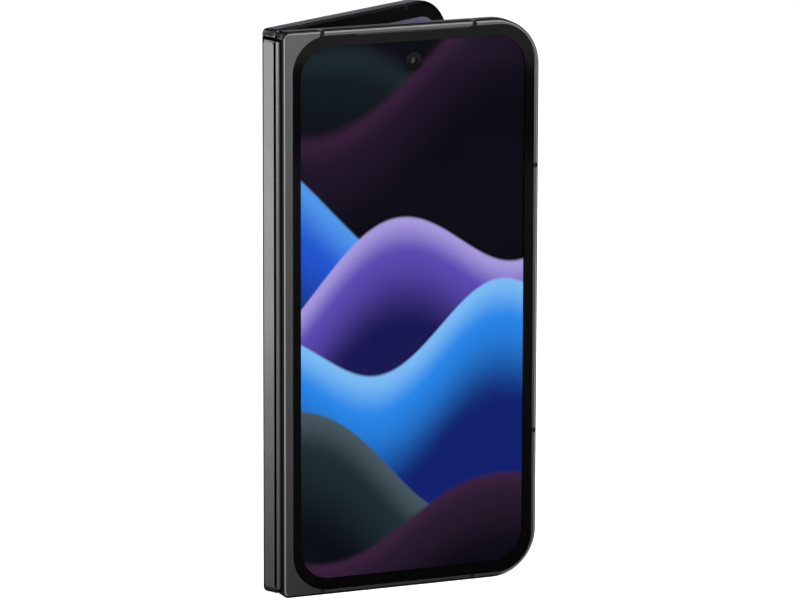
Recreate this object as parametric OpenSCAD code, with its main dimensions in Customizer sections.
// Book-style folding telephone, standing half open on its bottom edge.
// Millimetres, +Z up. The cover display looks along -Y and the halves open towards +Y.
// Each half is drawn in its own frame: x from its hinge end to its free edge,
// y from its outer face (0) to its inner face, z upwards.

/* [Halves] */
// Height of each half
body_h = 155.2; // [145:0.1:165]
// Width of each half, from its hinge end to its free edge
half_w = 74.4; // [70:0.1:80]
// Thickness of each half
half_t = 5.1; // [5:0.05:5.6]
// Radius of the two corners at the free edge
free_corner_r = 13; // [8:0.5:16]
// Radius of the two corners at the hinge
hinge_corner_r = 1.6; // [1.35:0.05:2]
// Rounding along the outer face
outer_edge_r = 0.55; // [0.3:0.05:0.6]
// Rounding along the inner face
inner_edge_r = 1.1; // [0.6:0.05:1.2]
// Gap between the inner faces when shut
shut_gap = 0.3; // [0.2:0.05:0.6]
// Angle between the halves as drawn
open_angle = 28.75; // [0:0.25:180]

/* [Frame] */
// Wall between the outer edge and the cavity
wall_t = 2.2; // [1.8:0.1:3]
// Thickness of the web between cavity and inner display
web_t = 0.5; // [0.4:0.05:0.8]
// Solid wall that closes the hinge trough at each end
end_wall = 2.1; // [1.8:0.1:2.6]
// Bevel on the inner edge of that wall
end_bevel = 0.25; // [0.1:0.05:0.35]
// Start of the cavity, from the hinge end
cavity_x = 7.6; // [7:0.1:10]
// Width of an antenna break
break_w = 1.2; // [0.8:0.1:2]
// Depth of an antenna break from the outer edge
break_depth = 1.75; // [1.2:0.05:1.8]
// Place of the break nearest the hinge, from the hinge end
break_near_x = 11.3; // [10:0.1:20]
// Place of the break nearest the free edge, from that edge
break_far = 19; // [15:0.5:30]
// Lower break on the free edge, from the bottom
break_low = 40.5; // [24:0.5:54]
// Upper break on the free edge, from the top
break_high = 40.8; // [24:0.1:44]
// Thickness of the ribs above and below each battery
rib_t = 0.8; // [0.6:0.1:1]

/* [Cover and back glass] */
// Thickness of the outer glasses
glass_t = 0.5; // [0.4:0.05:0.6]
// Start of the glass, from the hinge end
glass_x = 2.9; // [2.6:0.1:4]
// Metal rim left round the glass
rim_w = 1.45; // [1.2:0.05:1.8]
// Corner radius of the glass
glass_r = 10.2; // [8:0.1:12]
// Dark border of the cover display at the hinge side
border_hinge = 2.3; // [2:0.05:3]
// Dark border of the cover display at the free side
border_free = 2.65; // [2:0.05:3.5]
// Dark border of the cover display at the top and the bottom
border_end = 3.05; // [2.6:0.05:4]
// Corner radius of the cover display
cover_r = 8.6; // [6:0.1:10]
// Thickness of the cover display panel
panel_t = 0.8; // [0.6:0.05:1]
// Radius of the camera hole in the cover display
punch_r = 2.4; // [2:0.1:3]
// Camera centre below the top of the lit display
punch_drop = 5.4; // [4:0.1:8]
// Length of the earpiece slit
earpiece_l = 33; // [20:1:40]
// Height of the earpiece slit
earpiece_w = 0.45; // [0.3:0.05:0.6]

/* [Inner display] */
// Width of the trim round the inner display
trim_w = 2.75; // [2:0.05:3.5]
// Metal rim left round the trim
inner_rim_w = 1.6; // [1.4:0.05:2]
// Thickness of the inner display on each half
inner_t = 0.55; // [0.4:0.05:0.6]
// Depth of the display below the inner face
inner_sink = 0.05; // [0.02:0.01:0.1]
// Length of the soft fold on each half, from the hinge end
fold_x = 6; // [5.6:0.1:7]
// Depth of the ramp that lets the soft fold dip into the trough
ramp_drop = 0.45; // [0.35:0.05:0.6]
// Inner camera centre, from the two edges of the inner display
inner_camera_in = 6; // [5:0.5:9]
// Radius of the inner camera
inner_camera_r = 1.8; // [1.4:0.1:2.2]
// Thickness of the soft fold
fold_t = 0.25; // [0.15:0.05:0.3]

/* [Hinge] */
// Gap between the hinge ends when open flat
flat_gap = 0.2; // [0.1:0.05:0.3]
// Hinge axis below the inner face
axis_depth = 1.15; // [1.1:0.01:1.2]
// Spine face beyond the hinge axes
spine_reach = 3.3; // [3.2:0.05:3.35]
// Half width of the raised spine face
spine_face_hw = 2.33; // [2:0.01:2.4]
// Height of the raised spine face above its shoulders
spine_step = 0.3; // [0.2:0.05:0.4]
// Radius of the spine flanks about the hinge axes
flank_r = 3.35; // [3.3:0.01:3.4]
// Wall of the spine shell
spine_wall = 0.8; // [0.6:0.05:1]
// Gap between spine and each end wall
spine_end_gap = 0.45; // [0.3:0.05:0.6]
// Thickness of the spine's end caps
cap_t = 0.6; // [0.5:0.05:0.7]
// Running gap between spine and trough
trough_gap = 0.13; // [0.1:0.01:0.15]
// Radius of the hinge shafts
shaft_r = 0.45; // [0.4:0.01:0.5]
// Length of the hinge shafts
shaft_l = 20; // [16:0.5:30]
// Running clearance of a shaft in its bearing
shaft_gap = 0.05; // [0.03:0.01:0.08]
// Radius of the bearing knuckles
knuckle_r = 0.8; // [0.7:0.01:0.82]
// Teeth of each timing gear
gear_teeth = 10; // [10:2:12]
// Backlash of the timing gears at the pitch circle
gear_backlash = 0.07; // [0.05:0.01:0.1]
// Thickness of the arms and timing gears
arm_t = 1; // [0.8:0.05:1.1]
// Reach of the arms from the hinge end
arm_reach = 17; // [15:0.5:20]
// Number of friction clips at each end
clip_count = 5; // [3:1:7]
// Thickness of a friction clip
clip_t = 1.2; // [0.8:0.1:1.4]

/* [Inside] */
// Bottom of both batteries
battery_z = 24; // [23:0.5:30]
// Space between a battery and its neighbours
battery_margin = 2.5; // [2:0.1:4]
// Height of the front board
front_board_h = 15; // [12:0.5:16]
// Top of the front board below the top of the half
front_board_top = 6; // [5:0.5:6.5]
// Height of the main board
main_board_h = 30; // [24:0.5:31]
// Top of the main board below the top of the half
main_board_top = 29.2; // [28.8:0.1:34]
// Thickness of the boards
board_t = 0.8; // [0.6:0.1:1]
// Outer radius of the charging coil
coil_r = 21; // [15:0.5:25]
// Length of a closing magnet
magnet_l = 18; // [10:1:18]
// Centre of the lower closing magnet above the bottom
magnet_low = 43; // [34:0.5:44]
// Centre of the upper closing magnet below the top
magnet_high = 33.5; // [33:0.5:35]

/* [Rear camera] */
// Width of the camera island
island_w = 44; // [36:0.5:48]
// Height of the camera island
island_h = 24; // [20:0.5:28]
// Corner radius of the camera island
island_r = 7; // [4:0.5:9]
// Rise of the island above the back glass
island_rise = 1.5; // [1:0.1:2.2]
// Island distance from the free edge
island_edge = 8; // [7:0.5:12]
// Island distance from the top
island_top = 8; // [7:0.5:14]
// Radius of a camera barrel
lens_r = 4.1; // [3:0.1:4.6]
// Distance between camera centres
lens_pitch = 12; // [10:0.5:13]

/* [Buttons and ports] */
// Power button centre below the top
power_drop = 52; // [50:0.5:56]
// Length of the power button
power_l = 12; // [8:0.5:14]
// Volume rocker centre below the top
volume_drop = 77; // [74:0.5:79]
// Length of the volume rocker
volume_l = 22; // [16:0.5:26]
// Width of the buttons
button_w = 1.8; // [1.4:0.1:2.2]
// Rise of the buttons above the edge
button_rise = 0.3; // [0.2:0.05:0.5]
// Travel of the buttons
button_travel = 0.25; // [0.1:0.05:0.3]
// Gap round a button
button_gap = 0.1; // [0.05:0.05:0.2]
// Width of the card tray
tray_w = 10.6; // [9:0.1:12]
// Depth of the card tray
tray_l = 15; // [13:0.5:18]
// Thickness of the card tray
tray_t = 1.2; // [1:0.1:1.6]
// Centre of the card tray from the hinge end
tray_x = 34; // [26:0.5:44]
// Gap round the card tray
tray_gap = 0.1; // [0.05:0.05:0.2]
// Width of the charging port
port_w = 8.94; // [8.34:0.05:9.2]
// Opening of the charging port through the thickness
port_t = 3.16; // [2.6:0.02:3.2]
// Depth of the charging port
port_l = 7; // [6:0.1:8]
// Radius of a speaker hole
speaker_hole_r = 0.5; // [0.3:0.05:0.7]
// Number of speaker holes
speaker_holes = 7; // [4:1:7]
// Distance between speaker holes
speaker_pitch = 2; // [1.8:0.1:2.1]

/* [Hidden] */
$fn = 64;
eps = 0.01;
over = 1;
fit_gap = 0.05;
core_lap = 0.1;
edge_core = hinge_corner_r - core_lap;

axis_y = half_t - axis_depth;
axis_off = axis_depth + shut_gap / 2;
axis_x = axis_off - flat_gap / 2;
half_open = open_angle / 2;
spine_edge_r = norm([spine_reach, spine_face_hw - axis_off]);
trough_r = max(spine_edge_r, flank_r) + trough_gap;
spine_z = end_wall + spine_end_gap;
spine_l = body_h - 2 * spine_z;
spine_inner_r = flank_r - spine_wall;
spine_floor = spine_reach - spine_wall;
flank_end = spine_wall;

display_y = half_t - inner_sink;
web_y = display_y - inner_t - web_t;
web_lap = 0.1;
bezel = inner_rim_w + trim_w;
fold_mid = display_y - fold_t / 2 - axis_y;
recess_y = display_y - inner_t;
inner_camera_x = half_w - bezel - inner_camera_in;
inner_camera_z = body_h - bezel - inner_camera_in;
glass_w = half_w - glass_x - rim_w;
glass_h = body_h - 2 * rim_w;
pocket_y = glass_t + fit_gap;
cavity_w = half_w - cavity_x - wall_t;
cavity_h = body_h - 2 * wall_t;
cavity_r = free_corner_r - wall_t;
cavity_hinge_r = 2;
seat_gap = 0.1;
inside_y = glass_t + panel_t + seat_gap;
inside_t = web_y - inside_y;
cover_x = glass_x + border_hinge;
cover_z = rim_w + border_end;
cover_w = glass_w - border_hinge - border_free;
cover_h = glass_h - 2 * border_end;
punch_x = cover_x + cover_w / 2;
punch_z = cover_z + cover_h - punch_drop;
punch_gap = 0.1;

arm_gap = 0.1;
arm_z = spine_z + cap_t + arm_gap;
arm_low = 0.45;
arm_high = 0.5;
arm_lap = 0.4;
foot_inset = 0.5;
foot_x = cavity_x + foot_inset;
foot_w = arm_reach - foot_x;
foot_t = 1;
foot_h = 10.5;
foot_y = web_y - foot_t;
foot_top = wall_t + foot_h;
block_z = arm_z + arm_t + arm_gap;
fold_z = max(bezel, block_z);
block_l = 4.6;
clip_lead = 0.4;
clip_gap = 0.2;
clip_z = block_z + block_l + clip_lead;
clip_pitch = clip_t + clip_gap;
clip_hw = 0.6;
clip_slit = 0.24;
shaft_end_gap = 0.1;
shaft_z = spine_z + shaft_end_gap;
module_top = shaft_z + shaft_l;
screw_low = 3.5;
screw_inset = 2;
screw_zs = [wall_t + screw_low, foot_top - screw_inset];
screw_r = 0.6;
screw_head_r = 1.05;
screw_head_t = 0.45;
screw_l = screw_head_t + foot_t + web_t - web_lap;

pitch_r = axis_off;
gear_module = 2 * pitch_r / gear_teeth;
gear_pressure = 25;
gear_tip = 0.75;
tip_r = pitch_r + gear_tip * gear_module;
root_r = pitch_r - gear_module;
base_r = pitch_r * cos(gear_pressure);
tooth_half = 90 / gear_teeth - 90 * gear_backlash / (PI * pitch_r);

magnet_w = 2.4;
magnet_gap = 0.3;
magnet_x = half_w - wall_t - magnet_gap - magnet_w;
inside_right = magnet_x - battery_margin;
battery_inset = 1.4;
battery_r = 2;
battery_x = cavity_x + battery_inset;
battery_w = inside_right - battery_x;
board_gap = 2;
board_r = 1;
board_x = arm_reach + board_gap;
board_w = inside_right - board_x;
front_board_z = body_h - front_board_top - front_board_h;
main_board_z = body_h - main_board_top - main_board_h;
front_battery_h = front_board_z - battery_margin - battery_z;
rear_battery_h = main_board_z - battery_margin - battery_z;
chip_edge = 3;
chip_w = 12;
coil_x = battery_x + battery_w / 2;
coil_z = battery_z + rear_battery_h / 2;
coil_t = 0.6;

power_z = body_h - power_drop;
volume_z = body_h - volume_drop;
button_shift = 0.1;
button_y = half_t / 2 - button_shift;
button_flange = 0.4;
flange_edge = 0.4;
flange_side = 0.3;
plunger_hw = 0.4;
plunger_l = 2;
switch_t = 1;
switch_l = 3;
port_x = half_w / 2;
port_gap = 0.1;
port_y = web_y - port_gap - port_t / 2;
speaker_far = 22;
speaker_x = half_w - speaker_far;
speaker_w = 19;
speaker_h = 18;
motor_w = 11;
motor_h = 10;
motor_gap = 1.5;
motor_x = port_x - port_w / 2 - motor_gap - motor_w;
tray_rise = 0.25;
tray_y = inside_y + tray_rise;
island_x = half_w - island_edge - island_w;
island_z = body_h - island_top - island_h;
window_inset = 1.6;
window_t = 0.4;
flash_r = 1.45;
flash_share = 0.17;
lens_share = 0.56;
lens_z = island_z + island_h * lens_share;
lens_wall = 0.8;
lens_box = lens_r + lens_wall;

// Half widths of the whole part as drawn, which put the origin under its middle.
rear_edge_x = half_w - axis_x - outer_edge_r;
rear_edge_y = axis_y - outer_edge_r;
front_reach_y = axis_y + 2 * axis_off * cos(half_open);
whole_y = front_reach_y + rear_edge_x * sin(open_angle) + rear_edge_y * cos(open_angle) + outer_edge_r;
spine_left = axis_x - axis_off * sin(half_open)
    - spine_reach * cos(half_open) - spine_face_hw * sin(half_open);
origin_x = (half_w + spine_left) / 2;
origin_y = whole_y / 2;

// ---- helpers ----

function involute(r) = r <= base_r ? 0 : tan(acos(base_r / r)) * 180 / PI - acos(base_r / r);
function tooth_angle(r) = tooth_half + involute(pitch_r) - involute(r);
function polar(r, a) = [r * cos(a), r * sin(a)];
function smooth(t) = t * t * (3 - 2 * t);

// Stands a flat outline up in the plane of a half, from depth y0 over thickness t.
module upright(y0, t) {
    translate([0, y0 + t, 0]) rotate([90, 0, 0]) linear_extrude(t) children();
}

// Rectangle with one radius on its left corners and another on its right ones.
module outline(w, h, left_r, right_r) {
    translate([left_r, 0]) square([w - left_r - right_r, h]);
    translate([0, left_r]) square([left_r + eps, h - 2 * left_r]);
    translate([w - right_r - eps, right_r]) square([right_r + eps, h - 2 * right_r]);
    for (z = [left_r, h - left_r]) translate([left_r, z]) circle(left_r);
    for (z = [right_r, h - right_r]) translate([w - right_r, z]) circle(right_r);
}

// Section of the outer band: x = 0 is the outer edge, y runs through the thickness.
module edge_section() {
    intersection() {
        translate([-edge_core, 0]) square([edge_core, half_t]);
        union() {
            translate([-edge_core, 0]) square([edge_core - inner_edge_r, half_t]);
            translate([-edge_core, 0]) square([edge_core - outer_edge_r, half_t - inner_edge_r]);
            translate([-edge_core, outer_edge_r])
                square([edge_core, half_t - outer_edge_r - inner_edge_r]);
            translate([-outer_edge_r, outer_edge_r]) circle(outer_edge_r);
            translate([-inner_edge_r, half_t - inner_edge_r]) circle(inner_edge_r);
        }
    }
}

// Quarter turn of the band about a corner; quarter counts from the lower free corner.
module edge_corner(x, z, r, quarter) {
    translate([x, 0, z]) rotate([-90, 0, 0]) rotate([0, 0, 90 * quarter])
        rotate_extrude(angle = 90) translate([r, 0]) edge_section();
}

// Solid half with its rounded edges and corners.
module half_blank() {
    inset = edge_core - core_lap;
    run = half_w - hinge_corner_r - free_corner_r;
    upright(0, half_t) translate([inset, inset])
        outline(half_w - 2 * inset, body_h - 2 * inset, hinge_corner_r - inset, free_corner_r - inset);
    translate([half_w, 0, free_corner_r]) linear_extrude(body_h - 2 * free_corner_r) edge_section();
    translate([0, 0, hinge_corner_r]) mirror([1, 0, 0])
        linear_extrude(body_h - 2 * hinge_corner_r) edge_section();
    translate([hinge_corner_r, 0, 0]) rotate([0, 90, 0]) linear_extrude(run) edge_section();
    translate([half_w - free_corner_r, 0, body_h]) rotate([0, -90, 0]) linear_extrude(run) edge_section();
    edge_corner(half_w - free_corner_r, free_corner_r, free_corner_r, 0);
    edge_corner(hinge_corner_r, hinge_corner_r, hinge_corner_r, 1);
    edge_corner(hinge_corner_r, body_h - hinge_corner_r, hinge_corner_r, 2);
    edge_corner(half_w - free_corner_r, body_h - free_corner_r, free_corner_r, 3);
}

module glass_outline(gap) {
    translate([glass_x - gap, rim_w - gap])
        outline(glass_w + 2 * gap, glass_h + 2 * gap, glass_r + gap, glass_r + gap);
}

// Region of the inner display, open at the hinge end and rounded at the free edge.
module inner_outline(margin, start) {
    r = free_corner_r - margin;
    w = half_w - margin - start;
    h = body_h - 2 * margin;
    translate([start, margin]) square([w - r, h]);
    translate([start + w - r - eps, margin + r]) square([r + eps, h - 2 * r]);
    for (z = [r, h - r]) translate([start + w - r, margin + z]) circle(r);
}

module break_boxes() {
    for (x = [break_near_x, half_w - break_far])
        for (z = [-over, body_h - break_depth])
            translate([x - break_w / 2, -over, z])
                cube([break_w, half_t + 2 * over, break_depth + over]);
    for (z = [break_low, body_h - break_high])
        translate([half_w - break_depth, -over, z - break_w / 2])
            cube([break_depth + over, half_t + 2 * over, break_w]);
}

// Runs its children at the bottom of the hinge and mirrored at the top.
module both_ends() {
    children();
    translate([0, 0, body_h]) mirror([0, 0, 1]) children();
}

// Shell of a half before its antenna breaks: pockets, trough, cavity and hinge seats.
module half_shell() {
    difference() {
        half_blank();
        upright(-over, over + pocket_y) glass_outline(fit_gap);
        upright(glass_t / 2, web_y - glass_t / 2) translate([cavity_x, wall_t])
            outline(cavity_w, cavity_h, cavity_hinge_r, cavity_r);
        upright(recess_y, over + inner_t) inner_outline(inner_rim_w, -over);
        trough();
        fold_ramp();
        both_ends() end_wall_bevel();
        both_ends() arm_pocket();
        both_ends() arm_screw_holes(screw_r);
    }
}

// Round bed that the spine turns in.
module trough() {
    translate([axis_x, axis_y, end_wall]) cylinder(r = trough_r, h = body_h - 2 * end_wall);
}

// Slope from the display recess down to the trough, for the soft fold.
module fold_ramp() {
    ramp_z = bezel - web_lap;
    translate([0, 0, ramp_z]) linear_extrude(body_h - 2 * ramp_z)
        polygon([[fold_x, recess_y], [axis_x + trough_r, recess_y - ramp_drop],
            [axis_x, recess_y - ramp_drop], [axis_x, half_t], [fold_x, half_t]]);
}

// Bevel along the edge between the end wall and the hinge end.
module end_wall_bevel() {
    side = end_bevel * sqrt(2);
    translate([0, axis_y - trough_r + outer_edge_r, end_wall]) rotate([0, 45, 0])
        translate([-side / 2, 0, -side / 2]) cube([side, half_t, side]);
}

// Ribs in the cavity above and below a battery of a given height.
module bay_ribs(height) {
    inset = (battery_margin - rib_t) / 2;
    for (z = [battery_z - inset - rib_t, battery_z + height + inset])
        translate([cavity_x - web_lap, inside_y, z])
            cube([inside_right - cavity_x, web_y + web_lap - inside_y, rib_t]);
}

// Way of the arm out of the trough into the cavity.
module arm_pocket() {
    translate([axis_x, axis_y - arm_low - arm_gap, arm_z - arm_gap])
        cube([foot_x + arm_lap + arm_gap - axis_x, arm_low + arm_high + 2 * arm_gap, arm_t + 2 * arm_gap]);
}

module arm_screw_holes(r) {
    for (z = screw_zs)
        translate([foot_x + foot_w / 2, foot_y - over, z]) rotate([-90, 0, 0])
            cylinder(r = r, h = over + screw_l - screw_head_t);
}

module gear_outline(shift) {
    radii = [root_r, base_r, (base_r + pitch_r) / 2, pitch_r, (pitch_r + tip_r) / 2, tip_r];
    last = len(radii) - 1;
    polygon([for (k = [0 : gear_teeth - 1])
        let (middle = 90 + shift + k * 360 / gear_teeth)
        for (i = [0 : 2 * last + 1])
            let (step = i <= last ? i : 2 * last + 1 - i, side = i <= last ? -1 : 1)
                polar(radii[step], middle + side * tooth_angle(radii[step]))]);
}

// Arm with its timing gear at the bottom end; shift turns the teeth into mesh.
module hinge_arm(shift) {
    difference() {
        union() {
            translate([axis_x, axis_y, arm_z]) linear_extrude(arm_t) gear_outline(shift);
            translate([axis_x, axis_y - arm_low, arm_z])
                cube([foot_x + arm_lap - axis_x, arm_low + arm_high, arm_t]);
            translate([foot_x, foot_y, arm_z]) cube([foot_w, foot_t, foot_top - arm_z]);
        }
        translate([axis_x, axis_y, arm_z - over]) cylinder(r = shaft_r, h = arm_t + 2 * over);
        arm_screw_holes(screw_r + fit_gap);
    }
}

module hinge_shaft() {
    translate([axis_x, axis_y, shaft_z]) cylinder(r = shaft_r, h = shaft_l);
}

module arm_screw() {
    for (z = screw_zs)
        translate([foot_x + foot_w / 2, foot_y - screw_head_t, z]) rotate([-90, 0, 0]) difference() {
            union() {
                cylinder(r = screw_head_r, h = screw_head_t);
                cylinder(r = screw_r, h = screw_l);
            }
            translate([0, 0, -eps]) cylinder(r = screw_head_r / 2, h = screw_head_t / 2, $fn = 6);
        }
}

// ---- places of the three bodies ----

module place_front() {
    translate([-origin_x, -origin_y, 0]) children();
}

// Spine frame: x points into the telephone, the hinge axes lie at y = -axis_off and y = axis_off.
module place_spine() {
    place_front() translate([axis_x, axis_y, 0]) rotate([0, 0, half_open])
        translate([0, axis_off, 0]) children();
}

module place_rear() {
    place_spine() translate([0, axis_off, 0]) rotate([0, 0, half_open]) mirror([0, 1, 0])
        translate([-axis_x, -axis_y, 0]) children();
}

// ---- pieces that both halves have ----

module half_breaks() {
    intersection() {
        half_shell();
        break_boxes();
    }
}

module inner_display(hole) {
    difference() {
        upright(recess_y, inner_t) inner_outline(bezel, fold_x);
        if (hole) inner_camera_bore();
    }
}

module inner_camera_bore() {
    translate([inner_camera_x, foot_y, inner_camera_z]) rotate([-90, 0, 0])
        cylinder(r = inner_camera_r + web_lap, h = half_t);
}

module inner_trim() {
    difference() {
        upright(recess_y, inner_t + inner_sink) inner_outline(inner_rim_w, axis_x + trough_r);
        upright(0, half_t + over) inner_outline(bezel, -over);
    }
}

module half_magnets() {
    for (z = [magnet_low, body_h - magnet_high])
        translate([magnet_x, foot_y, z - magnet_l / 2]) cube([magnet_w, foot_t, magnet_l]);
}

// Board on the web, from height z.
module board_plate(z, height) {
    upright(web_y - board_t, board_t) translate([board_x, z]) outline(board_w, height, board_r, board_r);
}

// Chip on a board, with its lower corner at x and z.
module chip(x, z, width, height, thick) {
    translate([x, web_y - board_t - thick + eps, z]) cube([width, thick, height]);
}

module battery(height) {
    upright(inside_y, inside_t) translate([battery_x, battery_z])
        outline(battery_w, height, battery_r, battery_r);
}

// Half of the soft fold: the path keeps its distance from the hinge axis, so it lies
// level when the halves are open flat.
module display_fold() {
    steps = 14;
    turn = 90 - half_open;
    reach = fold_x - axis_x;
    function lead(t) = reach - t * (reach + axis_x);
    function swing(t) = smooth(t) * turn;
    function at(t, h) = let (p = [lead(t), h], a = swing(t))
        [p[0] * cos(a) + p[1] * sin(a), p[1] * cos(a) - p[0] * sin(a)];
    low = fold_mid - fold_t / 2;
    high = fold_mid + fold_t / 2;
    path = concat([for (i = [0 : steps]) at(i / steps, low)],
        [for (i = [steps : -1 : 0]) at(i / steps, high)]);
    translate([axis_x, axis_y, fold_z]) linear_extrude(body_h - 2 * fold_z) polygon(path);
}

// ---- front half ----

module front_frame() {
    color("dimgray") place_front() difference() {
        union() {
            half_shell();
            bay_ribs(front_battery_h);
        }
        break_boxes();
        tray_slot();
        upright(glass_t, panel_t + fit_gap) cover_outline(fit_gap);
    }
}

module cover_outline(gap) {
    translate([cover_x - gap, cover_z - gap])
        outline(cover_w + 2 * gap, cover_h + 2 * gap, cover_r + gap, cover_r + gap);
}

module tray_slot() {
    translate([tray_x - tray_w / 2 - tray_gap, tray_y - tray_gap, -over])
        cube([tray_w + 2 * tray_gap, tray_t + 2 * tray_gap, wall_t + 2 * over]);
}

module front_antenna_breaks() {
    color([0.12, 0.12, 0.13]) place_front() half_breaks();
}

module cover_glass() {
    color([0.03, 0.03, 0.04]) place_front() difference() {
        upright(0, glass_t) glass_outline(0);
        upright(-over, 2 * over + glass_t)
            translate([punch_x - earpiece_l / 2, body_h - rim_w - earpiece_w])
            square([earpiece_l, earpiece_w + over]);
    }
}

module earpiece_mesh() {
    color([0.02, 0.02, 0.02]) place_front()
        upright(glass_t / 2, glass_t / 2) translate([punch_x - earpiece_l / 2, body_h - rim_w - earpiece_w])
        square([earpiece_l, earpiece_w]);
}

module cover_display() {
    color([0.1, 0.2, 0.55]) place_front() difference() {
        upright(glass_t, panel_t) cover_outline(0);
        translate([punch_x, 0, punch_z]) rotate([-90, 0, 0]) cylinder(r = punch_r, h = half_t);
    }
}

module cover_camera() {
    eye_r = 0.9;
    eye_depth = 0.5;
    lens_sink = 0.2;
    color([0.08, 0.09, 0.1]) place_front() translate([punch_x, glass_t, punch_z]) rotate([-90, 0, 0]) {
        difference() {
            cylinder(r = punch_r - punch_gap, h = inside_t + panel_t);
            translate([0, 0, -eps]) cylinder(r = eye_r, h = eye_depth);
        }
        translate([0, 0, lens_sink]) cylinder(r = eye_r - fit_gap, h = eye_depth - lens_sink + eps);
    }
}

module front_battery() {
    color([0.16, 0.17, 0.19]) place_front() battery(front_battery_h);
}

module front_magnets() {
    color("silver") place_front() half_magnets();
}

module front_board() {
    chip_h = front_board_h - 2 * chip_edge;
    chip_t = 1.2;
    color([0.05, 0.25, 0.15]) place_front() difference() {
        union() {
            board_plate(front_board_z, front_board_h);
            for (x = [board_x + chip_edge, inside_right - chip_edge - chip_w])
                chip(x, front_board_z + chip_edge, chip_w, chip_h, chip_t);
        }
        translate([punch_x, 0, punch_z]) rotate([-90, 0, 0])
            cylinder(r = punch_r + punch_gap, h = half_t);
    }
}

module inner_display_front() {
    color([0.05, 0.06, 0.1]) place_front() inner_display(false);
}

module inner_trim_front() {
    color([0.06, 0.06, 0.07]) place_front() inner_trim();
}

module front_hinge_arms() {
    color("silver") place_front() both_ends() hinge_arm(0);
}

module front_hinge_shafts() {
    color("lightgray") place_front() both_ends() hinge_shaft();
}

module front_arm_screws() {
    color("gray") place_front() both_ends() arm_screw();
}

module sim_tray() {
    frame_t = 1.3;
    floor_t = 0.3;
    head_l = wall_t + 1;
    pin_r = 0.4;
    color("dimgray") place_front() translate([tray_x - tray_w / 2, tray_y, 0]) difference() {
        cube([tray_w, tray_t, tray_l]);
        translate([frame_t, floor_t, head_l])
            cube([tray_w - 2 * frame_t, tray_t, tray_l - head_l - frame_t]);
        translate([frame_t, tray_t / 2, -eps]) cylinder(r = pin_r, h = head_l + over);
    }
}

// ---- spine ----

// Section of the spine between its flanks, out to a given reach and flank radius.
module spine_section(reach, r, inner_end) {
    intersection() {
        union() {
            for (y = [-axis_off, axis_off]) translate([0, y]) circle(r);
            translate([-r, -axis_off]) square([r, 2 * axis_off]);
        }
        translate([-reach, -2 * r]) square([reach - inner_end, 4 * r]);
    }
}

// Space inside the spine shell.
module spine_space() {
    spine_section(spine_floor, spine_inner_r, -over);
}

module knuckle_plate() {
    translate([-spine_floor - eps, -axis_off - knuckle_r])
        square([spine_floor + eps, 2 * (axis_off + knuckle_r)]);
    for (y = [-axis_off, axis_off]) translate([0, y]) circle(knuckle_r);
}

module bearing_bores() {
    for (y = [-axis_off, axis_off]) translate([0, y]) circle(shaft_r + shaft_gap);
}

module hinge_cover() {
    face_inset = 0.3;
    face_r = 0.9;
    color([0.35, 0.35, 0.36]) place_spine() {
        translate([0, 0, spine_z]) linear_extrude(spine_l) difference() {
            spine_section(spine_reach - spine_step, flank_r, flank_end);
            spine_space();
        }
        translate([-spine_reach, 0, spine_z + face_inset]) rotate([90, 0, 90])
            linear_extrude(spine_step + eps) translate([-spine_face_hw, 0])
            outline(2 * spine_face_hw, spine_l - 2 * face_inset, face_r, face_r);
        both_ends() translate([0, 0, spine_z]) linear_extrude(cap_t) difference() {
            union() {
                spine_section(spine_reach - spine_step, flank_r, flank_end);
                knuckle_plate();
            }
            bearing_bores();
        }
    }
}

module hinge_blocks() {
    color("silver") place_spine() both_ends() translate([0, 0, block_z]) linear_extrude(block_l)
        difference() {
            intersection() {
                knuckle_plate();
                spine_space();
            }
            bearing_bores();
        }
}

module friction_clips() {
    color("gainsboro") place_spine() both_ends() for (k = [0 : clip_count - 1])
        translate([0, 0, clip_z + k * clip_pitch]) linear_extrude(clip_t) difference() {
            union() {
                translate([-spine_floor, -clip_hw]) square([spine_floor - knuckle_r / 4, 2 * clip_hw]);
                translate([-clip_hw, -axis_off]) square([clip_hw, 2 * axis_off]);
                for (y = [-axis_off, axis_off]) translate([0, y]) circle(knuckle_r);
            }
            for (y = [-axis_off, axis_off]) translate([0, y]) {
                circle(shaft_r + shaft_gap / 2);
                translate([0, -clip_slit / 2]) square([over, clip_slit]);
            }
        }
}

module display_rest() {
    rest_gap = 0.1;
    rest_t = 0.35;
    rest_w = 2.2;
    rest_z = module_top + 1;
    rest_x = fold_mid - fold_t / 2 - rest_gap - rest_t;
    post_l = 6;
    color("darkgray") place_spine() {
        translate([rest_x, -rest_w / 2, rest_z]) cube([rest_t, rest_w, body_h - 2 * rest_z]);
        for (z = [1 : 3]) translate([-spine_floor, -clip_hw, (body_h * z / 2 - post_l) / 2])
            cube([spine_floor + rest_x + eps, 2 * clip_hw, post_l]);
    }
}

module display_fold_front() {
    color([0.05, 0.06, 0.1]) place_front() display_fold();
}

module display_fold_rear() {
    color([0.05, 0.06, 0.1]) place_rear() display_fold();
}

// ---- rear half ----

module button_slot(z, length) {
    translate([half_w - wall_t - over, button_y - button_w / 2 - button_gap, z - length / 2 - button_gap])
        cube([wall_t + 2 * over, button_w + 2 * button_gap, length + 2 * button_gap]);
}

module port_slot(w, t, depth) {
    translate([port_x, port_y, -over]) linear_extrude(depth + over) {
        square([w - t, t], center = true);
        for (x = [-1, 1]) translate([x * (w - t) / 2, 0]) circle(t / 2);
    }
}

module speaker_bores() {
    for (k = [0 : speaker_holes - 1])
        translate([speaker_x + speaker_pitch * k, half_t / 2, -over])
            cylinder(r = speaker_hole_r, h = wall_t + 2 * over);
}

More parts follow.
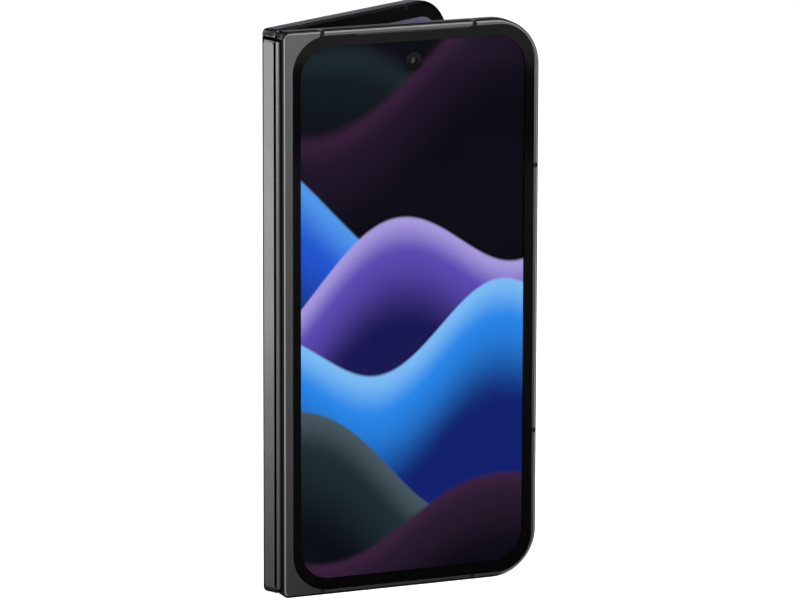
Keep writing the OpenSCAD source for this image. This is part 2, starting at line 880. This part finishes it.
module rear_frame() {
    color("dimgray") place_rear() difference() {
        union() {
            half_shell();
            bay_ribs(rear_battery_h);
        }
        break_boxes();
        inner_camera_bore();
        button_slot(power_z, power_l);
        button_slot(volume_z, volume_l);
        port_slot(port_w + 2 * fit_gap, port_t + 2 * fit_gap, wall_t + over);
        speaker_bores();
    }
}

module rear_antenna_breaks() {
    color([0.12, 0.12, 0.13]) place_rear() half_breaks();
}

module island_outline(gap) {
    translate([island_x - gap, island_z - gap])
        outline(island_w + 2 * gap, island_h + 2 * gap, island_r + gap, island_r + gap);
}

module back_glass() {
    color([0.12, 0.12, 0.13]) place_rear() difference() {
        upright(0, glass_t) glass_outline(0);
        upright(-over, 2 * over + glass_t) island_outline(fit_gap);
    }
}

module lens_places() {
    for (k = [0 : 2])
        translate([island_x + island_w / 2 + (k - 1) * lens_pitch, 0, lens_z])
            rotate([-90, 0, 0]) children();
}

module flash_place() {
    translate([island_x + island_w / 2 + lens_pitch / 2, 0, island_z + island_h * flash_share])
        rotate([-90, 0, 0]) children();
}

// Bore through the island at each camera or at the flash.
module island_bore(r) {
    translate([0, 0, -island_rise - over]) cylinder(r = r, h = island_rise + pocket_y + 2 * over);
}

module camera_island() {
    color([0.2, 0.2, 0.21]) place_rear() difference() {
        upright(-island_rise, island_rise + pocket_y) island_outline(0);
        upright(-island_rise - over, over + window_t + 2 * fit_gap) island_outline(-window_inset);
        lens_places() island_bore(lens_r + fit_gap);
        flash_place() island_bore(flash_r + fit_gap);
    }
}

module camera_window() {
    color([0.02, 0.02, 0.03]) place_rear() difference() {
        upright(fit_gap - island_rise, window_t) island_outline(-window_inset - fit_gap);
        flash_place() island_bore(flash_r + fit_gap);
    }
}

module rear_cameras() {
    top = window_t + 2 * fit_gap - island_rise;
    eye_r = 2.4;
    eye_depth = 0.8;
    color([0.06, 0.06, 0.07]) place_rear() lens_places() difference() {
        union() {
            translate([0, 0, top]) cylinder(r = lens_r, h = inside_y - top);
            translate([-lens_box, -lens_box, pocket_y + 2 * fit_gap])
                cube([2 * lens_box, 2 * lens_box, web_y - pocket_y - 3 * fit_gap]);
        }
        translate([0, 0, top - eps]) cylinder(r = eye_r, h = eye_depth);
    }
}

module flash_lens() {
    flash_depth = 0.4;
    color([0.9, 0.85, 0.7]) place_rear() flash_place()
        translate([0, 0, fit_gap - island_rise]) cylinder(r = flash_r, h = island_rise + flash_depth);
}

module main_board() {
    half_chip = (board_w - 3 * chip_edge) / 2;
    chip_t = 1.4;
    color([0.05, 0.25, 0.15]) place_rear() {
        board_plate(main_board_z, main_board_h);
        for (x = [board_x + chip_edge, board_x + 2 * chip_edge + half_chip])
            chip(x, main_board_z + chip_edge, half_chip, main_board_h - 2 * chip_edge, chip_t);
    }
}

module rear_battery() {
    color([0.16, 0.17, 0.19]) place_rear() battery(rear_battery_h);
}

module charging_coil() {
    color("peru") place_rear() translate([coil_x, pocket_y + 2 * fit_gap, coil_z]) rotate([-90, 0, 0])
        difference() {
            cylinder(r = coil_r, h = coil_t);
            translate([0, 0, -over]) cylinder(r = coil_r / 2, h = coil_t + 2 * over);
        }
}

module charging_port() {
    shell = 0.3;
    tongue_w = 6.7;
    tongue_t = 0.7;
    back_z = port_l - 2 * shell;
    color("silver") place_rear() {
        difference() {
            port_slot(port_w, port_t, port_l);
            translate([0, 0, -2 * over]) cube([half_w, half_t, 2 * over]);
            difference() {
                port_slot(port_w - 2 * shell, port_t - 2 * shell, port_l - shell);
                translate([0, 0, back_z]) cube([half_w, half_t, over]);
            }
        }
        translate([port_x - tongue_w / 2, port_y - tongue_t / 2, 2 * shell])
            cube([tongue_w, tongue_t, port_l - 3 * shell]);
    }
}

module speaker() {
    box_lead = 6;
    box_low = 1;
    box_r = 1.5;
    duct_w = 13.4;
    duct_t = 1.4;
    duct_l = wall_t + 4;
    duct_x = speaker_x + speaker_pitch * (speaker_holes - 1) / 2 - duct_w / 2;
    color([0.1, 0.1, 0.11]) place_rear() difference() {
        upright(inside_y, inside_t - fit_gap) translate([speaker_x - box_lead, wall_t + box_low])
            outline(speaker_w, speaker_h, box_r, box_r);
        translate([duct_x, half_t / 2 - duct_t / 2, 0]) cube([duct_w, duct_t, duct_l]);
    }
}

module vibration_motor() {
    motor_low = 4;
    case_r = 1.5;
    color("silver") place_rear() upright(inside_y, inside_t) translate([motor_x, wall_t + motor_low])
        outline(motor_w, motor_h, case_r, case_r);
}

module inner_camera() {
    color([0.06, 0.06, 0.07]) place_rear()
        translate([inner_camera_x, web_y - web_t, inner_camera_z]) rotate([-90, 0, 0])
        cylinder(r = inner_camera_r, h = display_y - web_y + web_t - fit_gap);
}

module inner_display_rear() {
    color([0.05, 0.06, 0.1]) place_rear() inner_display(true);
}

module inner_trim_rear() {
    color([0.06, 0.06, 0.07]) place_rear() inner_trim();
}

module rear_hinge_arms() {
    color("silver") place_rear() both_ends() hinge_arm(180 / gear_teeth);
}

module rear_hinge_shafts() {
    color("lightgray") place_rear() both_ends() hinge_shaft();
}

module rear_arm_screws() {
    color("gray") place_rear() both_ends() arm_screw();
}

module rear_magnets() {
    color("silver") place_rear() half_magnets();
}

module button_switches() {
    switch_x = half_w - wall_t - button_flange - button_travel - button_gap - switch_t;
    switch_y = button_y - button_w / 2;
    color([0.75, 0.7, 0.5]) place_rear()
        for (z = [power_z, volume_z - volume_l / 4, volume_z + volume_l / 4])
            translate([switch_x, switch_y, z - switch_l / 2]) cube([switch_t, web_y - switch_y, switch_l]);
}

// Key with round ends, and the flange that keeps it in its slot.
module side_button(z, length) {
    inner_x = half_w - wall_t;
    reach = wall_t + button_rise;
    translate([inner_x, button_y, z]) {
        translate([0, -button_w / 2, (button_w - length) / 2]) cube([reach, button_w, length - button_w]);
        for (end = [-1, 1]) translate([0, 0, end * (length - button_w) / 2]) rotate([0, 90, 0])
            cylinder(r = button_w / 2, h = reach);
        translate([-button_flange - fit_gap, -button_w / 2 - flange_side, -length / 2 - flange_edge])
            cube([button_flange, button_w + 2 * flange_side, length + 2 * flange_edge]);
        translate([-button_flange, -plunger_hw, -plunger_l / 2])
            cube([button_flange + 2 * fit_gap, 2 * plunger_hw, plunger_l]);
    }
}

module power_button() {
    color("gray") place_rear() side_button(power_z, power_l);
}

module volume_rocker() {
    color("gray") place_rear() side_button(volume_z, volume_l);
}

front_frame();
front_antenna_breaks();
cover_glass();
earpiece_mesh();
cover_display();
cover_camera();
front_battery();
front_magnets();
front_board();
inner_display_front();
inner_trim_front();
front_hinge_arms();
front_hinge_shafts();
front_arm_screws();
hinge_cover();
hinge_blocks();
friction_clips();
display_rest();
display_fold_front();
display_fold_rear();
rear_frame();
rear_antenna_breaks();
back_glass();
camera_island();
camera_window();
rear_cameras();
flash_lens();
main_board();
rear_battery();
charging_coil();
charging_port();
speaker();
vibration_motor();
inner_camera();
inner_display_rear();
inner_trim_rear();
rear_hinge_arms();
rear_hinge_shafts();
rear_arm_screws();
rear_magnets();
button_switches();
power_button();
volume_rocker();
sim_tray();
